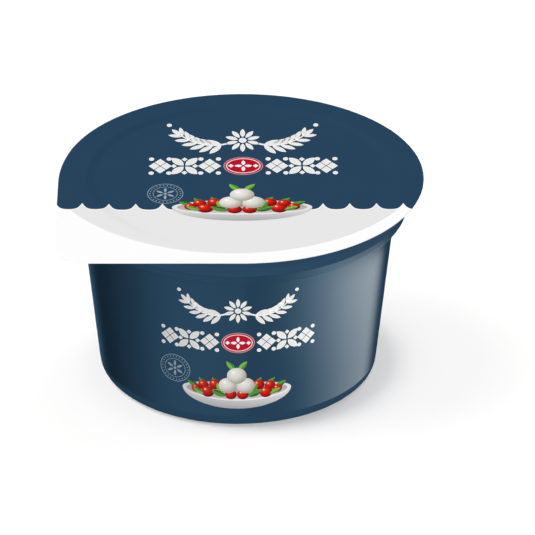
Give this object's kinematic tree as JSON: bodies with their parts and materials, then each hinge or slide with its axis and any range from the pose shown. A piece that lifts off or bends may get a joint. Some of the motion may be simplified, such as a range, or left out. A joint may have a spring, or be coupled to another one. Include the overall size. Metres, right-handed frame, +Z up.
{
  "type": "sealed cheese tub",
  "caption": "Shut round plastic tub with a tapered wall, a stepped neck and a peel-off foil lid whose pull tab is a squared corner.",
  "frame": {"origin": "on the surface the tub stands on, under the middle of the lid's bounding square", "axes": "+Z up out of the lid, -Y the printed front, the pull tab towards -X and -Y"},
  "size_m": [0.1166, 0.116, 0.0668],
  "materials": {
    "tub_plastic": "dark blue injection-moulded plastic with an even satin gloss, printed on the front",
    "lid_foil": "white lacquered foil, printed dark blue behind a scalloped edge and pale grey in front of it"
  },
  "bodies": {
    "root": {"tub": "tub_plastic", "foil_lid": "lid_foil"}
  },
  "joints": []
}
